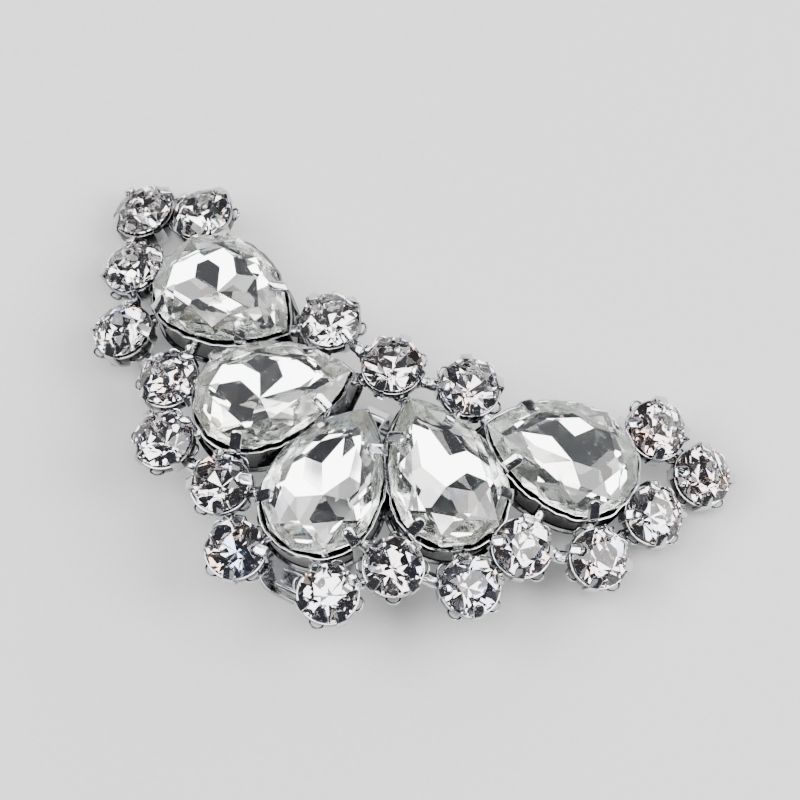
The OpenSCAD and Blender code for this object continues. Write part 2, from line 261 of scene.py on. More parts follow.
def pick(kind, wanted):
    """Edit mode: selects only the vertices, edges or faces for which wanted is true."""
    bpy.ops.mesh.select_mode(type=kind)
    bpy.ops.mesh.select_all(action="DESELECT")
    mesh = bpy.context.edit_object.data
    shape = bmesh.from_edit_mesh(mesh)
    for item in {"VERT": shape.verts, "EDGE": shape.edges, "FACE": shape.faces}[kind]:
        item.select_set(bool(wanted(item)))
    shape.select_flush_mode()
    bmesh.update_edit_mesh(mesh)


def extrude(x=0.0, y=0.0, z=0.0):
    """Edit mode: pulls the selected faces out by this much."""
    bpy.ops.mesh.extrude_region_move(TRANSFORM_OT_translate={"value": (x, y, z)})


def spin(degrees, steps, centre, axis):
    """Edit mode: sweeps what is selected round an axis. Blender's own angle counts the other way."""
    bpy.ops.mesh.spin(steps=steps, angle=-math.radians(degrees), center=centre, axis=axis)


def middle(item):
    """Middle of an edge or a face."""
    points = [v.co for v in item.verts]
    return sum(points, Vector()) / len(points)


print("rules pick what is nearer than", NEAR, "mm")

# %% Tools for finishing
# Edges sharper than this are rounded, in degrees
SHARP = 35


def soften(piece, width, steps=2):
    """Rounds all sharp edges of a finished shape, as polishing does, and smooths what is round."""
    take(piece)
    modifier = piece.modifiers.new("polished_edges", "BEVEL")
    modifier.width = width
    modifier.segments = steps
    modifier.limit_method = "ANGLE"
    modifier.angle_limit = math.radians(SHARP)
    modifier.use_clamp_overlap = True
    bpy.ops.object.modifier_apply(modifier=modifier.name)
    bpy.ops.object.shade_smooth_by_angle(angle=math.radians(SHARP))


def close_up(piece):
    """Merges doubles and turns all faces outwards."""
    take(piece)
    bpy.ops.object.mode_set(mode="EDIT")
    bpy.ops.mesh.select_all(action="SELECT")
    bpy.ops.mesh.remove_doubles(threshold=SAME_POINT)
    bpy.ops.mesh.normals_make_consistent(inside=False)
    bpy.ops.object.mode_set(mode="OBJECT")
    return piece


print("edges are rounded from", SHARP, "degrees")

# %% [markdown]
# ## The pear's outline
# A pear stone's outline is a half circle and two long arcs that meet in the tip. Here a circle loses
# its upper half, and each end of what is left is spun round the centre of its long arc. Drawing it
# from the stone's length and radius rather than point by point keeps tray, claws and stone in step.

# %% Pear outline
PEAR_LEN = 14.0
PEAR_R = 5.0
PEAR_ROUND_Y = PEAR_R - PEAR_LEN / 2
TIP_REACH = PEAR_LEN - PEAR_R
SIDE_R = (TIP_REACH ** 2 + PEAR_R ** 2) / (2 * PEAR_R)
SIDE_X = PEAR_R - SIDE_R
TIP_FACING = math.degrees(math.asin(TIP_REACH / SIDE_R))
# Straight pieces that make up a whole circle, and each of the two long arcs
CIRCLE_STEPS = 64
SIDE_STEPS = 26


def pear_point(facing):
    """Point of the pear outline where it faces this direction, in degrees from +X."""
    mirror = -1 if facing > 90 else 1
    right_facing = 180 - facing if facing > 90 else facing
    if right_facing > TIP_FACING:
        return Vector((0, PEAR_LEN / 2, 0))
    centre_x, radius = (0, PEAR_R) if right_facing <= 0 else (SIDE_X, SIDE_R)
    angle = math.radians(right_facing)
    x = centre_x + radius * math.cos(angle)
    return Vector((mirror * x, PEAR_ROUND_Y + radius * math.sin(angle), 0))


def pear_blank(grow, z):
    """A flat face with the pear outline, grown outwards, in edit mode."""
    clear_the_bench()
    bpy.ops.mesh.primitive_circle_add(vertices=CIRCLE_STEPS, radius=PEAR_R + grow, location=(0, 0, 0))
    blank = bpy.context.object
    bpy.ops.object.mode_set(mode="EDIT")
    pick("VERT", lambda v: v.co.y > NEAR)
    bpy.ops.mesh.delete(type="VERT")
    tip_angle = math.degrees(math.acos(-SIDE_X / (SIDE_R + grow)))
    for way in (1, -1):
        pick("VERT", lambda v: v.co.y > -NEAR and way * v.co.x > 1)
        spin(way * tip_angle, SIDE_STEPS, (way * SIDE_X, 0, 0), (0, 0, 1))
    bpy.ops.mesh.select_all(action="SELECT")
    bpy.ops.mesh.remove_doubles(threshold=NEAR)
    bpy.ops.mesh.edge_face_add()
    bpy.ops.transform.translate(value=(0, PEAR_ROUND_Y, z))
    return blank


print("long arcs: radius in mm", round(SIDE_R, 2), "- up to", round(TIP_FACING, 1), "degrees")

# %% [markdown]
# ## The pear tray
# A pear stone sits in a stamped tray: a flat floor with a narrow foot edge all round, and a thin wall.
# Here the outline, filled with one face, is pulled up, inset, pulled up again, inset, and hollowed,
# which gives the walls of the stamped sheet in few steps. Last, the rim is pushed out in small waves.
# It shows as a thin bright line round the stone, with a dark gap, which is painted shade on the wall inside
# the rim.

# %% Pear tray
# Depths of the base and the top below the stone's edge
TRAY_DEPTH = 4.0
TRAY_TOP = 0.5
# How far the wall stands outside the stone's edge, and the foot outside the wall
TRAY_OUT = 0.15
TRAY_FOOT = 0.3
# Thickness of wall and floor
TRAY_WALL = 0.22
TRAY_FLOOR = 0.35
TRAY_EDGE = 0.05
FOOT_WAVE = 0.06
# The rim is the top of the wall. It leans out by its flare, plus or minus its wave, up to the most.
RIM_HEIGHT = 0.35
RIM_FLARE = 0.13
RIM_WAVE = 0.3
RIM_MOST = 0.19
# How many waves of each length go round a tray, and how strong one may be
WAVE_COUNTS = (5, 9, 14, 23)
WAVE_SIZES = (0.4, 1.0)


def outside(point):
    """How far a point lies outside the stone's outline."""
    x, y = abs(point.x), point.y - PEAR_ROUND_Y
    if y <= 0:
        return math.hypot(x, y) - PEAR_R
    return math.hypot(x - SIDE_X, y) - SIDE_R


def make_tray(seed):
    """One stamped tray. Its rim flares out in small waves, each tray in its own way."""
    tray = pear_blank(TRAY_OUT + TRAY_FOOT, -TRAY_DEPTH)
    extrude(z=TRAY_FLOOR)
    bpy.ops.mesh.inset(thickness=TRAY_FOOT)
    extrude(z=TRAY_DEPTH - TRAY_FLOOR - TRAY_TOP - RIM_HEIGHT)
    extrude(z=RIM_HEIGHT)
    bpy.ops.mesh.inset(thickness=TRAY_WALL)
    extrude(z=-RIM_HEIGHT)
    extrude(z=RIM_HEIGHT + TRAY_TOP + TRAY_FLOOR - TRAY_DEPTH)
    bpy.ops.object.mode_set(mode="OBJECT")
    close_up(tray)
    draw = random.Random(seed)
    waves = [(n, draw.uniform(0, 2 * math.pi), draw.uniform(*WAVE_SIZES)) for n in WAVE_COUNTS]
    for vertex in tray.data.vertices:
        way = Vector((vertex.co.x, vertex.co.y, 0))
        angle = math.atan2(way.y, way.x)
        swing = sum(size * math.sin(n * angle + phase) for n, phase, size in waves) / len(waves)
        if vertex.co.z > -TRAY_TOP - NEAR:
            vertex.co += way.normalized() * min(RIM_FLARE + RIM_WAVE * swing, RIM_MOST)
        elif outside(vertex.co) > TRAY_OUT + TRAY_FOOT / 2:
            vertex.co += way.normalized() * FOOT_WAVE * swing
    soften(tray, TRAY_EDGE)
    return tray


rim_gap = TRAY_OUT + RIM_FLARE - TRAY_WALL
print("tray: the rim's inner edge lies about", round(rim_gap, 2), "mm outside the stone's outline")

# %% [markdown]
# ## Claws
# A claw is a narrow strip that was stamped out with the tray. It runs up the wall, bends in over the
# stone's edge and lies on the crown with a rounded end. The strip starts as a small plane, which is
# pulled up, spun through the bend and pulled out over the crown. Bevelling the two corners of its end
# makes the round tip. The same steps with other numbers make the small claws of the round cups.

# %% Claw
# The path gives X and Z of the root and of the knee. "over" is how far the claw lies on the crown.
PEAR_CLAW = {
    "width": 1.0, "thick": 0.33, "clear": 0.1, "bend_r": 0.1, "bend_z": 0.2, "over": 1.4, "lean": 35,
    "path": [(0.13, -3.7), (0.1, -2.6)],
}
ROUND_CLAW = {
    "width": 0.95, "thick": 0.3, "clear": 0.06, "bend_r": 0.08, "bend_z": 0.16, "over": 0.95, "lean": 37,
    "path": [(-1.02, -2.95), (0.02, -1.3)],
}
CLAW_BEND_STEPS = 5
CLAW_EDGE = 0.06
# Rounding of the tip as a share of the width, a little less than half of it
TIP_ROUNDING = 0.46
TIP_STEPS = 6


def make_claw(sizes):
    """A claw whose X is zero at the stone's edge and grows outwards."""
    clear_the_bench()
    width, thick, bend_r = sizes["width"], sizes["thick"], sizes["bend_r"]
    x, z = sizes["path"][0]
    bpy.ops.mesh.primitive_plane_add(size=1, location=(0, 0, 0))
    claw = bpy.context.object
    bpy.ops.object.mode_set(mode="EDIT")
    bpy.ops.transform.resize(value=(thick, width, 1))
    bpy.ops.transform.translate(value=(x + thick / 2, 0, z))
    top_x, top_z = sizes["clear"], sizes["bend_z"] - bend_r / 2
    for next_x, next_z in sizes["path"][1:] + [(top_x, top_z)]:
        extrude(next_x - x, 0, next_z - z)
        x, z = next_x, next_z
    spin(sizes["lean"] - 90, CLAW_BEND_STEPS, (top_x - bend_r, 0, top_z), (0, 1, 0))
    lean = math.radians(sizes["lean"])
    reach = sizes["over"] - bend_r
    extrude(-reach, 0, reach * math.tan(lean))
    bpy.ops.object.mode_set(mode="OBJECT")
    close_up(claw)
    tip_x = min(v.co.x for v in claw.data.vertices)

    def is_tip_corner(edge):
        """True for the two edges that cross the sheet's thickness at the corners of the end."""
        first, second = (v.co for v in edge.verts)
        at_the_end = middle(edge).x < tip_x + thick
        at_a_side = abs(middle(edge).y) > width / 2 - NEAR
        along_the_side = abs(first.y - second.y) < NEAR
        return at_the_end and at_a_side and along_the_side and (first - second).length < thick + 2 * NEAR

    bpy.ops.object.mode_set(mode="EDIT")
    pick("EDGE", is_tip_corner)
    bpy.ops.mesh.bevel(offset=width * TIP_ROUNDING, segments=TIP_STEPS, profile=0.5, affect="EDGES")
    bpy.ops.object.mode_set(mode="OBJECT")
    soften(claw, CLAW_EDGE)
    return claw


pear_claw = make_claw(PEAR_CLAW)
round_claw = make_claw(ROUND_CLAW)
for claw in (pear_claw, round_claw):
    sizes_mm = [round(length, 2) for length in claw.dimensions]
    print("claw:", len(claw.data.polygons), "faces, size in mm:", sizes_mm)

# %% [markdown]
# ## The round cup
# A round stone sits in a small cup with four claws. Between the claws stand four ears, bent out of the
# same sheet. The cup is a circle that is pulled up and widened to a cone, pulled up straight, inset and
# hollowed. An ear is a thin bright loop: a disc whose two flat faces are inset and bridged, which cuts
# the hole. Only the outer half of the loop stands clear of the cup.

# %% Cup and ear
ROUND_R = 2.6
# Depths of the base, the shoulder and the top below the stone's edge
CUP_DEPTH = 3.1
CUP_SHOULDER = 1.2
CUP_TOP = 0.35
CUP_BASE_R = 1.6
CUP_OUT = 0.1
CUP_WALL = 0.2
CUP_EDGE = 0.045
CUP_STEPS = 48
# Radius of an ear, width of its loop, how far it reaches beyond the stone's edge, and its thickness
EAR_R = 0.7
EAR_RIM = 0.19
EAR_OUT = 0.7
EAR_T = 0.22
# Slope of an ear in degrees, and how deep it stands
EAR_RISE = 29
EAR_DEPTH = 1.1
EAR_EDGE = 0.05
EAR_STEPS = 28


def make_cup():
    """The body of a round setting."""
    clear_the_bench()
    wall_r = ROUND_R + CUP_OUT
    bpy.ops.mesh.primitive_circle_add(
        vertices=CUP_STEPS, radius=CUP_BASE_R, fill_type="NGON", location=(0, 0, 0))
    cup = bpy.context.object
    bpy.ops.object.mode_set(mode="EDIT")
    bpy.ops.transform.translate(value=(0, 0, -CUP_DEPTH))
    extrude(z=CUP_DEPTH - CUP_SHOULDER)
    bpy.ops.transform.resize(value=(wall_r / CUP_BASE_R, wall_r / CUP_BASE_R, 1))
    extrude(z=CUP_SHOULDER - CUP_TOP)
    bpy.ops.mesh.inset(thickness=CUP_WALL)
    extrude(z=CUP_TOP - CUP_SHOULDER)
    extrude(z=CUP_SHOULDER - CUP_DEPTH + 2 * CUP_WALL)
    shrink = (CUP_BASE_R - CUP_WALL) / (wall_r - CUP_WALL)
    bpy.ops.transform.resize(value=(shrink, shrink, 1))
    bpy.ops.object.mode_set(mode="OBJECT")
    close_up(cup)
    soften(cup, CUP_EDGE)
    return cup


def make_ear():
    """An ear on the +X side of a cup."""
    clear_the_bench()
    bpy.ops.mesh.primitive_cylinder_add(vertices=EAR_STEPS, radius=EAR_R, depth=EAR_T, location=(0, 0, 0))
    ear = bpy.context.object
    bpy.ops.object.mode_set(mode="EDIT")
    pick("FACE", lambda f: abs(f.normal.z) > FACING)
    bpy.ops.mesh.inset(thickness=EAR_RIM, use_individual=True)
    bpy.ops.mesh.bridge_edge_loops()
    bpy.ops.object.mode_set(mode="OBJECT")
    soften(ear, EAR_EDGE)
    place = Matrix.Translation((ROUND_R + EAR_OUT - EAR_R, 0, -EAR_DEPTH))
    ear.data.transform(place @ turn(-EAR_RISE, "Y"))
    return ear


cup = make_cup()
ear = make_ear()
print("cup:", len(cup.data.polygons), "faces; ear:", len(ear.data.polygons), "faces")

# %% [markdown]
# ## Putting the settings together
# Each setting gets its own copies of claws and ears. The real claws are bent by hand, so each leans
# and turns a little differently. The small differences come from a seeded draw, so that each run of
# the script gives the same buckle. Trays and cups also store how deep each vertex lies below the
# stone's edge, which places the painted shade on their walls. Claws and ears store nothing, which
# counts as zero, so they get no painted shade.

# %% Tools for the settings
# Directions in which the claws stand, in degrees
PEAR_CLAWS = (-25, 36, 144, 205)
ROUND_CLAWS = (0, 90, 180, 270)
CLAW_TO_EAR = 45
# Most that a claw and an ear may be bent, in degrees
CLAW_TURN = 3.0
CLAW_TILT = 1.6
EAR_TURN = 4.0
# Seeds of the draws: this number plus the number of the setting
PEAR_SEED = 40
ROUND_SEED = 80


def bent(draw):
    """A small turn and tilt of a claw about its root."""
    return turn(draw.uniform(-CLAW_TURN, CLAW_TURN), "Z") @ turn(draw.uniform(0, CLAW_TILT), "Y")


def copy_at(piece, place, name):
    """A copy with its own mesh, moved to its place for good."""
    take(piece)
    bpy.ops.object.duplicate(linked=False)
    twin = bpy.context.object
    twin.name = name
    twin.data.transform(place)
    return twin


def joined(pieces, name):
    """One object out of several."""
    whole = take(*pieces)
    bpy.ops.object.join()
    whole.name = name
    whole.data.name = name
    return whole


def finish_piece(piece):
    """Scales a piece from the bench down to metres and fixes it to the buckle."""
    piece.data.transform(Matrix.Scale(MM, 4))
    piece.data.update()
    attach(piece, "root")
    return piece


# The stored depth places the painted shade of trays and cups in their material
def mark_depth(piece, deepest):
    """Stores how deep each vertex lies: 0 at the stone's edge, 1 at the setting's base."""
    depth = piece.data.attributes.new("depth", "FLOAT", "POINT")
    for vertex, share in zip(piece.data.vertices, depth.data):
        share.value = max(0.0, -vertex.co.z / deepest)
    return piece


print("claws: bent by up to", CLAW_TURN, "degrees; ears: by up to", EAR_TURN)

# %% Pear settings
settings = []
for i, spot in enumerate(pear_spots):
    draw = random.Random(PEAR_SEED + i)
    parts = [mark_depth(make_tray(i), TRAY_DEPTH)]
    for facing in PEAR_CLAWS:
        place = Matrix.Translation(pear_point(facing)) @ turn(facing, "Z") @ bent(draw)
        parts.append(copy_at(pear_claw, place, "claw"))
    setting = joined(parts, f"pear_setting_{i + 1}")
    setting.data.transform(spot)
    settings.append(setting)
print("pear settings:", len(settings))

# %% Round settings
for i, spot in enumerate(round_spots):
    draw = random.Random(ROUND_SEED + i)
    parts = [mark_depth(copy_at(cup, Matrix.Identity(4), "cup"), CUP_DEPTH)]
    for facing in ROUND_CLAWS:
        place = turn(facing, "Z") @ Matrix.Translation((ROUND_R, 0, 0)) @ bent(draw)
        parts.append(copy_at(round_claw, place, "claw"))
        ear_facing = facing + CLAW_TO_EAR + draw.uniform(-EAR_TURN, EAR_TURN)
        parts.append(copy_at(ear, turn(ear_facing, "Z"), "ear"))
    setting = joined(parts, f"round_setting_{i + 1:02d}")
    setting.data.transform(spot)
    settings.append(setting)
for template in (pear_claw, round_claw, cup, ear):
    bpy.data.objects.remove(template)
for setting in settings:
    finish_piece(setting)
print("settings:", len(settings), "- vertices:", sum(len(s.data.vertices) for s in settings))

# %% [markdown]
# ## Solder
# Neighbouring settings are held together by lumps of solder that froze as they ran. Each lump starts as
# a sphere drawn out along its joint. All lumps become one object, and a displacement by a cloud pattern
# then makes each of them lumpy in its own way.

# %% Solder joints
JOINT_R = 0.5
JOINT_DEPTH = 1.6
# How far a lump reaches beyond each end of its joint, and its width as a share of its height
LUMP_END = 0.35
LUMP_SPREAD = 1.15
# Steps of a lump round and up
LUMP_STEPS = (28, 18)
# Size of the bumps, how many sizes of them lie on each other, and their height
CLOUD_SIZE = 0.7
CLOUD_LAYERS = 2
CLOUD_HEIGHT = 0.5
# Joints of the right half. Columns: x, y, direction, length
JOINTS_HALF = [
    (24.8, 18.2, -13, 1.4), (26.4, 14.7, 71, 1.9), (24.3, 8.9, 70, 2.4), (20.3, 4.3, 26, 2.8),
    (16.1, 0.2, 66, 1.6), (11.7, -3.3, 16, 2.7), (6.5, -6.6, 50, 1.9), (3.3, 12.5, 9, 2.6),
    (21, 16.6, 60, 1.3), (23, 12.1, -5, 1.4), (21.5, 8.2, 125, 2), (17.3, 6.4, 88, 2.8),
    (14.6, 3.1, -4, 1.5), (13, -0.3, 132, 1.9), (8.9, -1.3, 80, 1.7), (5.4, -3.4, 165, 2.2),
    (2.9, -6.5, 124, 1.8), (9.6, 11.8, -22, 2), (6.6, 10.3, 88, 1.3), (2.3, 9.9, -41, 2),
    (11.7, 8.8, 40, 1.4), (3.9, 3, 33, 1.3),
]
joints = JOINTS_HALF + [(-x, y, 180 - d, length) for x, y, d, length in JOINTS_HALF]

clear_the_bench()
bpy.ops.mesh.primitive_uv_sphere_add(
    segments=LUMP_STEPS[0], ring_count=LUMP_STEPS[1], radius=1, location=(0, 0, 0))
lump = bpy.context.object
lumps = []
for x, y, direction, length in joints:
    stretch = Matrix.Diagonal((length / 2 + LUMP_END, JOINT_R * LUMP_SPREAD, JOINT_R, 1))
    place = on_dome(x, y, direction) @ Matrix.Translation((0, 0, -JOINT_DEPTH)) @ stretch
    lumps.append(copy_at(lump, place, "lump"))
bpy.data.objects.remove(lump)
solder = joined(lumps, "solder_joints")
clouds = bpy.data.textures.new("frozen_solder", "CLOUDS")
clouds.noise_scale = CLOUD_SIZE
clouds.noise_depth = CLOUD_LAYERS
take(solder)
modifier = solder.modifiers.new("frozen_solder", "DISPLACE")
modifier.texture = clouds
modifier.texture_coords = "LOCAL"
modifier.strength = CLOUD_HEIGHT
modifier.mid_level = 0.5
bpy.ops.object.modifier_apply(modifier=modifier.name)
bpy.ops.object.shade_smooth()
finish_piece(solder)
for piece in settings + [solder]:
    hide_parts("setting_frame")
print("solder joints:", len(joints), "- vertices:", len(solder.data.vertices))

# %% [markdown]
# ## The clip
# The clip is one strip of spring steel: a lower jaw with rounded corners, a narrow neck folded back over
# itself, and an upper jaw under the middle tray. The strip starts as a block as wide as the neck. A
# bisecting cut marks where the jaw begins, and the sides of the jaw are pulled out from it. The end of
# the neck is then spun round the fold, and the upper jaw is pulled out of it in the same way.

# %% Clip sizes
CLIP_T = 0.6
CLIP_W = 7.4
NECK_W = 2.0
CLIP_CORNER_R = 2.4
# Gap between the upper jaw and the tray above it
CLIP_GAP = 0.1
# Where the jaws end, where they join the neck and where the fold begins, along Y
UPPER_JAW_END = -7.0
LOWER_JAW_END = -8.1
JAW_ROOT = 4.2
FOLD_Y = 6.2
FOLD_STEPS = 28
CORNER_STEPS = 9
CLIP_EDGE = 0.1
# Distances of the two ribs from the free end, and their size
RIBS = (0.9, 2.4)
RIB_R = 0.2
RIB_LEN = 3
RIB_STEPS = 20
RIB_EDGE = 0.08
# An edge this near a jaw's free end is one of its corners. A side of the upper jaw is at least as far
# from the root.
JAW_ZONE = 1.5
# The upper jaw leans with the middle tray above it
lean = math.asin(DOME_Y / math.hypot(DOME_Y, DOME_R))
top = TRAY_DEPTH + CLIP_GAP
start_z = CROWN_Z - DOME_Y ** 2 / DOME_R / 2
fold_r = (start_z + FOLD_Y * math.sin(lean) - top * math.cos(lean)) / (1 + math.cos(lean))
fold_y = FOLD_Y * math.cos(lean) + (top + fold_r) * math.sin(lean)
jaw_pull = (CLIP_W - NECK_W) / 2
print("fold: radius in mm", round(fold_r, 2), "- the upper jaw leans by", round(math.degrees(lean), 1))

# %% Clip shape
def pull_sides(wanted):
    """Widens the neck-wide strip to the jaw's width where wanted says so."""
    for way in (-1, 1):
        pick("FACE", lambda f: way * f.normal.x > FACING and wanted(middle(f)))
        extrude(x=way * jaw_pull)


def round_corners(wanted):
    """Bevels the corners of a jaw's free end."""
    pick("EDGE", lambda e: wanted(middle(e)) and abs(middle(e).x) > CLIP_W / 2 - NEAR
         and abs(e.calc_length() - CLIP_T) < CLIP_T / 2)
    bpy.ops.mesh.bevel(offset=CLIP_CORNER_R, segments=CORNER_STEPS, profile=0.5, affect="EDGES")


clear_the_bench()
bpy.ops.mesh.primitive_cube_add(size=1, location=(0, 0, 0))
clip = bpy.context.object
clip.name = "clip"
bpy.ops.object.mode_set(mode="EDIT")
bpy.ops.transform.resize(value=(NECK_W, fold_y - LOWER_JAW_END, CLIP_T))
bpy.ops.transform.translate(value=(0, (fold_y + LOWER_JAW_END) / 2, CLIP_T / 2))
bpy.ops.mesh.select_all(action="SELECT")
bpy.ops.mesh.bisect(plane_co=(0, JAW_ROOT, 0), plane_no=(0, 1, 0), threshold=0.0001)
pull_sides(lambda m: m.y < JAW_ROOT)
pick("FACE", lambda f: f.normal.y > FACING and middle(f).y > fold_y - NEAR)
spin(180 + math.degrees(lean), FOLD_STEPS, (0, fold_y, fold_r), (1, 0, 0))
pull = Vector((0, -math.cos(lean), -math.sin(lean)))
extrude(*(pull * (FOLD_Y - JAW_ROOT)))
extrude(*(pull * (JAW_ROOT - UPPER_JAW_END)))
pull_sides(lambda m: m.z > fold_r and m.y < JAW_ROOT - JAW_ZONE)
round_corners(lambda m: m.z < CLIP_T and m.y < LOWER_JAW_END + JAW_ZONE)
round_corners(lambda m: m.z > CLIP_T and m.y < UPPER_JAW_END + JAW_ZONE)
bpy.ops.object.mode_set(mode="OBJECT")
close_up(clip)
soften(clip, CLIP_EDGE, 3)
print("clip:", len(clip.data.polygons), "faces")

# %% [markdown]
# ## The ribs
# Two ribs are pressed across the lower jaw near its free end, which keep the shoe's edge from sliding
# out. A rod sunk halfway into the sheet shows just the round back of a rib.

# %% Ribs
ribs = []
for from_end in RIBS:
    clear_the_bench()
    bpy.ops.mesh.primitive_cylinder_add(
        vertices=RIB_STEPS, radius=RIB_R, depth=RIB_LEN, rotation=(0, math.pi / 2, 0),
        location=(0, LOWER_JAW_END + from_end, CLIP_T))
    bpy.ops.object.transform_apply(location=True, rotation=True, scale=True)
    soften(bpy.context.object, RIB_EDGE)
    ribs.append(bpy.context.object)
clip = joined([clip] + ribs, "folded_clip")
clip.data.transform(Matrix.Translation((0, -MIDDLE_Y, 0)))
finish_piece(clip)
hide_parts("shoe_clip")
low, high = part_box("shoe_clip")
print("clip in mm:", [round(length / MM, 2) for length in clip.dimensions])
print("clip of the frame in mm:", [round(length / MM, 2) for length in high - low])

# %% [markdown]
# ## Traces of making and wearing
# Polished plating is never perfectly even: it has fine scratches in all directions, faint waves from
# the polishing wheel and a few dull smears from fingers. Three materials share these traces, so they
# are one node group with its own inputs, and each material sets how strong they are.

# %% Tools for materials
def new_group(name, inputs, outputs):
    """An empty shader node group with named sockets."""
    group = bpy.data.node_groups.new(name, "ShaderNodeTree")
    for label, kind, value in inputs:
        socket = group.interface.new_socket(name=label, in_out="INPUT", socket_type=kind)
        if value is not None:
            socket.default_value = value
    for label, kind in outputs:
        group.interface.new_socket(name=label, in_out="OUTPUT", socket_type=kind)
    return group, group.nodes.new("NodeGroupInput"), group.nodes.new("NodeGroupOutput")


def add(tree, kind, **settings):
    """A node with these properties, and with inputs set by name."""
    node = tree.nodes.new(kind)
    for key, value in settings.items():
        if key in node.inputs:
            node.inputs[key].default_value = value
        else:
            setattr(node, key.lower(), value)
    return node


def do_math(tree, operation, a, b):
    """A Math node on two sockets or numbers."""
    node = add(tree, "ShaderNodeMath", operation=operation)
    for socket, value in zip(node.inputs, (a, b)):
        if isinstance(value, (int, float)):
            socket.default_value = value
        else:
            tree.links.new(value, socket)
    return node.outputs[0]


def noise(tree, coordinates, scale, detail):
    """A noise pattern on these coordinates, with about this many waves to the metre."""
    pattern = add(tree, "ShaderNodeTexNoise", Scale=scale, Detail=detail)
    tree.links.new(coordinates, pattern.inputs["Vector"])
    return pattern.outputs["Fac"]


print("materials before this step:", len(bpy.data.materials))

# %% Group for traces of wear
# Each direction of scratches is a noise that is stretched along X and turned by three angles
SCRATCH_TURNS = [(0.0, 0.0, 0.3), (0.4, 0.9, 1.5), (0.8, 1.8, 2.5)]
SCRATCH_STRETCH = (400, 9000, 9000)
# Noise below this value is a scratch, and how rough and how deep a scratch is
SCRATCHED = 0.33
SCRATCH_ROUGHNESS = 0.3
SCRATCH_DEPTH = 0.1
# Between these values of the noise a smear fades in
SMEAR_START = 0.5
SMEAR_FULL = 0.75
# Smears and waves to the metre
SMEAR_SCALE = 260.0
WAVE_SCALE = 900.0

wear, wear_in, wear_out = new_group(
    "traces_of_wear",
    [("Coordinates", "NodeSocketVector", None), ("Scratches", "NodeSocketFloat", 0.3),
     ("Smears", "NodeSocketFloat", 0.1), ("Waves", "NodeSocketFloat", 0.3)],
    [("Roughness", "NodeSocketFloat"), ("Height", "NodeSocketFloat"), ("Tarnish", "NodeSocketFloat")],
)
scratches = 0.0
for turns in SCRATCH_TURNS:
    mapping = add(wear, "ShaderNodeMapping", Rotation=turns, Scale=SCRATCH_STRETCH)
    wear.links.new(wear_in.outputs["Coordinates"], mapping.inputs["Vector"])
    line = do_math(wear, "LESS_THAN", noise(wear, mapping.outputs[0], 1.0, 1.0), SCRATCHED)
    scratches = do_math(wear, "MAXIMUM", scratches, line)
waves = noise(wear, wear_in.outputs["Coordinates"], WAVE_SCALE, 1.0)
smears = noise(wear, wear_in.outputs["Coordinates"], SMEAR_SCALE, 3.0)
patch = add(wear, "ShaderNodeMapRange")
patch.inputs["From Min"].default_value = SMEAR_START
patch.inputs["From Max"].default_value = SMEAR_FULL
wear.links.new(smears, patch.inputs["Value"])

strength = wear_in.outputs["Scratches"]
rough_lines = do_math(wear, "MULTIPLY", scratches, do_math(wear, "MULTIPLY", strength, SCRATCH_ROUGHNESS))
rough_smears = do_math(wear, "MULTIPLY", patch.outputs[0], wear_in.outputs["Smears"])
wear.links.new(do_math(wear, "ADD", rough_lines, rough_smears), wear_out.inputs["Roughness"])
deep_lines = do_math(wear, "MULTIPLY", scratches, do_math(wear, "MULTIPLY", strength, SCRATCH_DEPTH))
high_waves = do_math(wear, "MULTIPLY", waves, wear_in.outputs["Waves"])
wear.links.new(do_math(wear, "SUBTRACT", high_waves, deep_lines), wear_out.inputs["Height"])
wear.links.new(patch.outputs[0], wear_out.inputs["Tarnish"])
print("group:", wear.name, "with", len(wear.nodes), "nodes")

# %% [markdown]
# ## Metals
# Plating, solder and clip are the same kind of material with different amounts of wear: a metal whose
# colour goes slightly warm and dull in the tarnished patches, and whose roughness and bump come from
# the group. The walls of trays and cups between the stones are painted darker: painted shade, placed by
# the depth that was stored with each tray and cup. Rims and bases are left bright.

# %% Metals
# Sockets of a Mix node that works on colours: share, first and second colour, and its result
MIX_SHARE, MIX_FIRST, MIX_SECOND, MIX_RESULT = 0, 6, 7, 2


def blend_colours(tree, share, first, second):
    """A mix of two colours by a mask."""
    node = add(tree, "ShaderNodeMix", data_type="RGBA")
    tree.links.new(share, node.inputs[MIX_SHARE])
    node.inputs[MIX_FIRST].default_value = first
    node.inputs[MIX_SECOND].default_value = second
    return node.outputs[MIX_RESULT]


def bump_up(tree, shader, height, distance):
    """Lets a height show as small bumps of the surface, as high as distance in metres."""
    bump = add(tree, "ShaderNodeBump", Strength=1.0, Distance=distance)
    tree.links.new(height, bump.inputs["Height"])
    tree.links.new(bump.outputs[0], shader.inputs["Normal"])


def new_material(name):
    """A material with its shader and its object coordinates."""
    material = bpy.data.materials.new(name)
    material.use_nodes = True
    tree = material.node_tree
    return material, tree, tree.nodes["Principled BSDF"], add(tree, "ShaderNodeTexCoord").outputs["Object"]


# Painted shade: depth as a share of a setting's height, and how bright the metal's colour is painted there
PAINTED_SHADE_BY_DEPTH = [(0.0, 1.0), (0.14, 1.0), (0.18, 0.1), (0.97, 0.1), (1.0, 1.0)]
# Columns: colour, colour of tarnish, roughness, scratches, smears, waves, height of the bumps in metres
METALS = {
    "bright_plating": ((0.62, 0.63, 0.65, 1), (0.46, 0.45, 0.43, 1), 0.06, 0.3, 0.14, 0.35, 0.00004),
    "frozen_solder": ((0.70, 0.71, 0.73, 1), (0.48, 0.47, 0.46, 1), 0.16, 0.2, 0.3, 1.0, 0.00008),
    "spring_steel": ((0.62, 0.63, 0.66, 1), (0.50, 0.49, 0.47, 1), 0.07, 0.2, 0.10, 0.1, 0.00002),
}


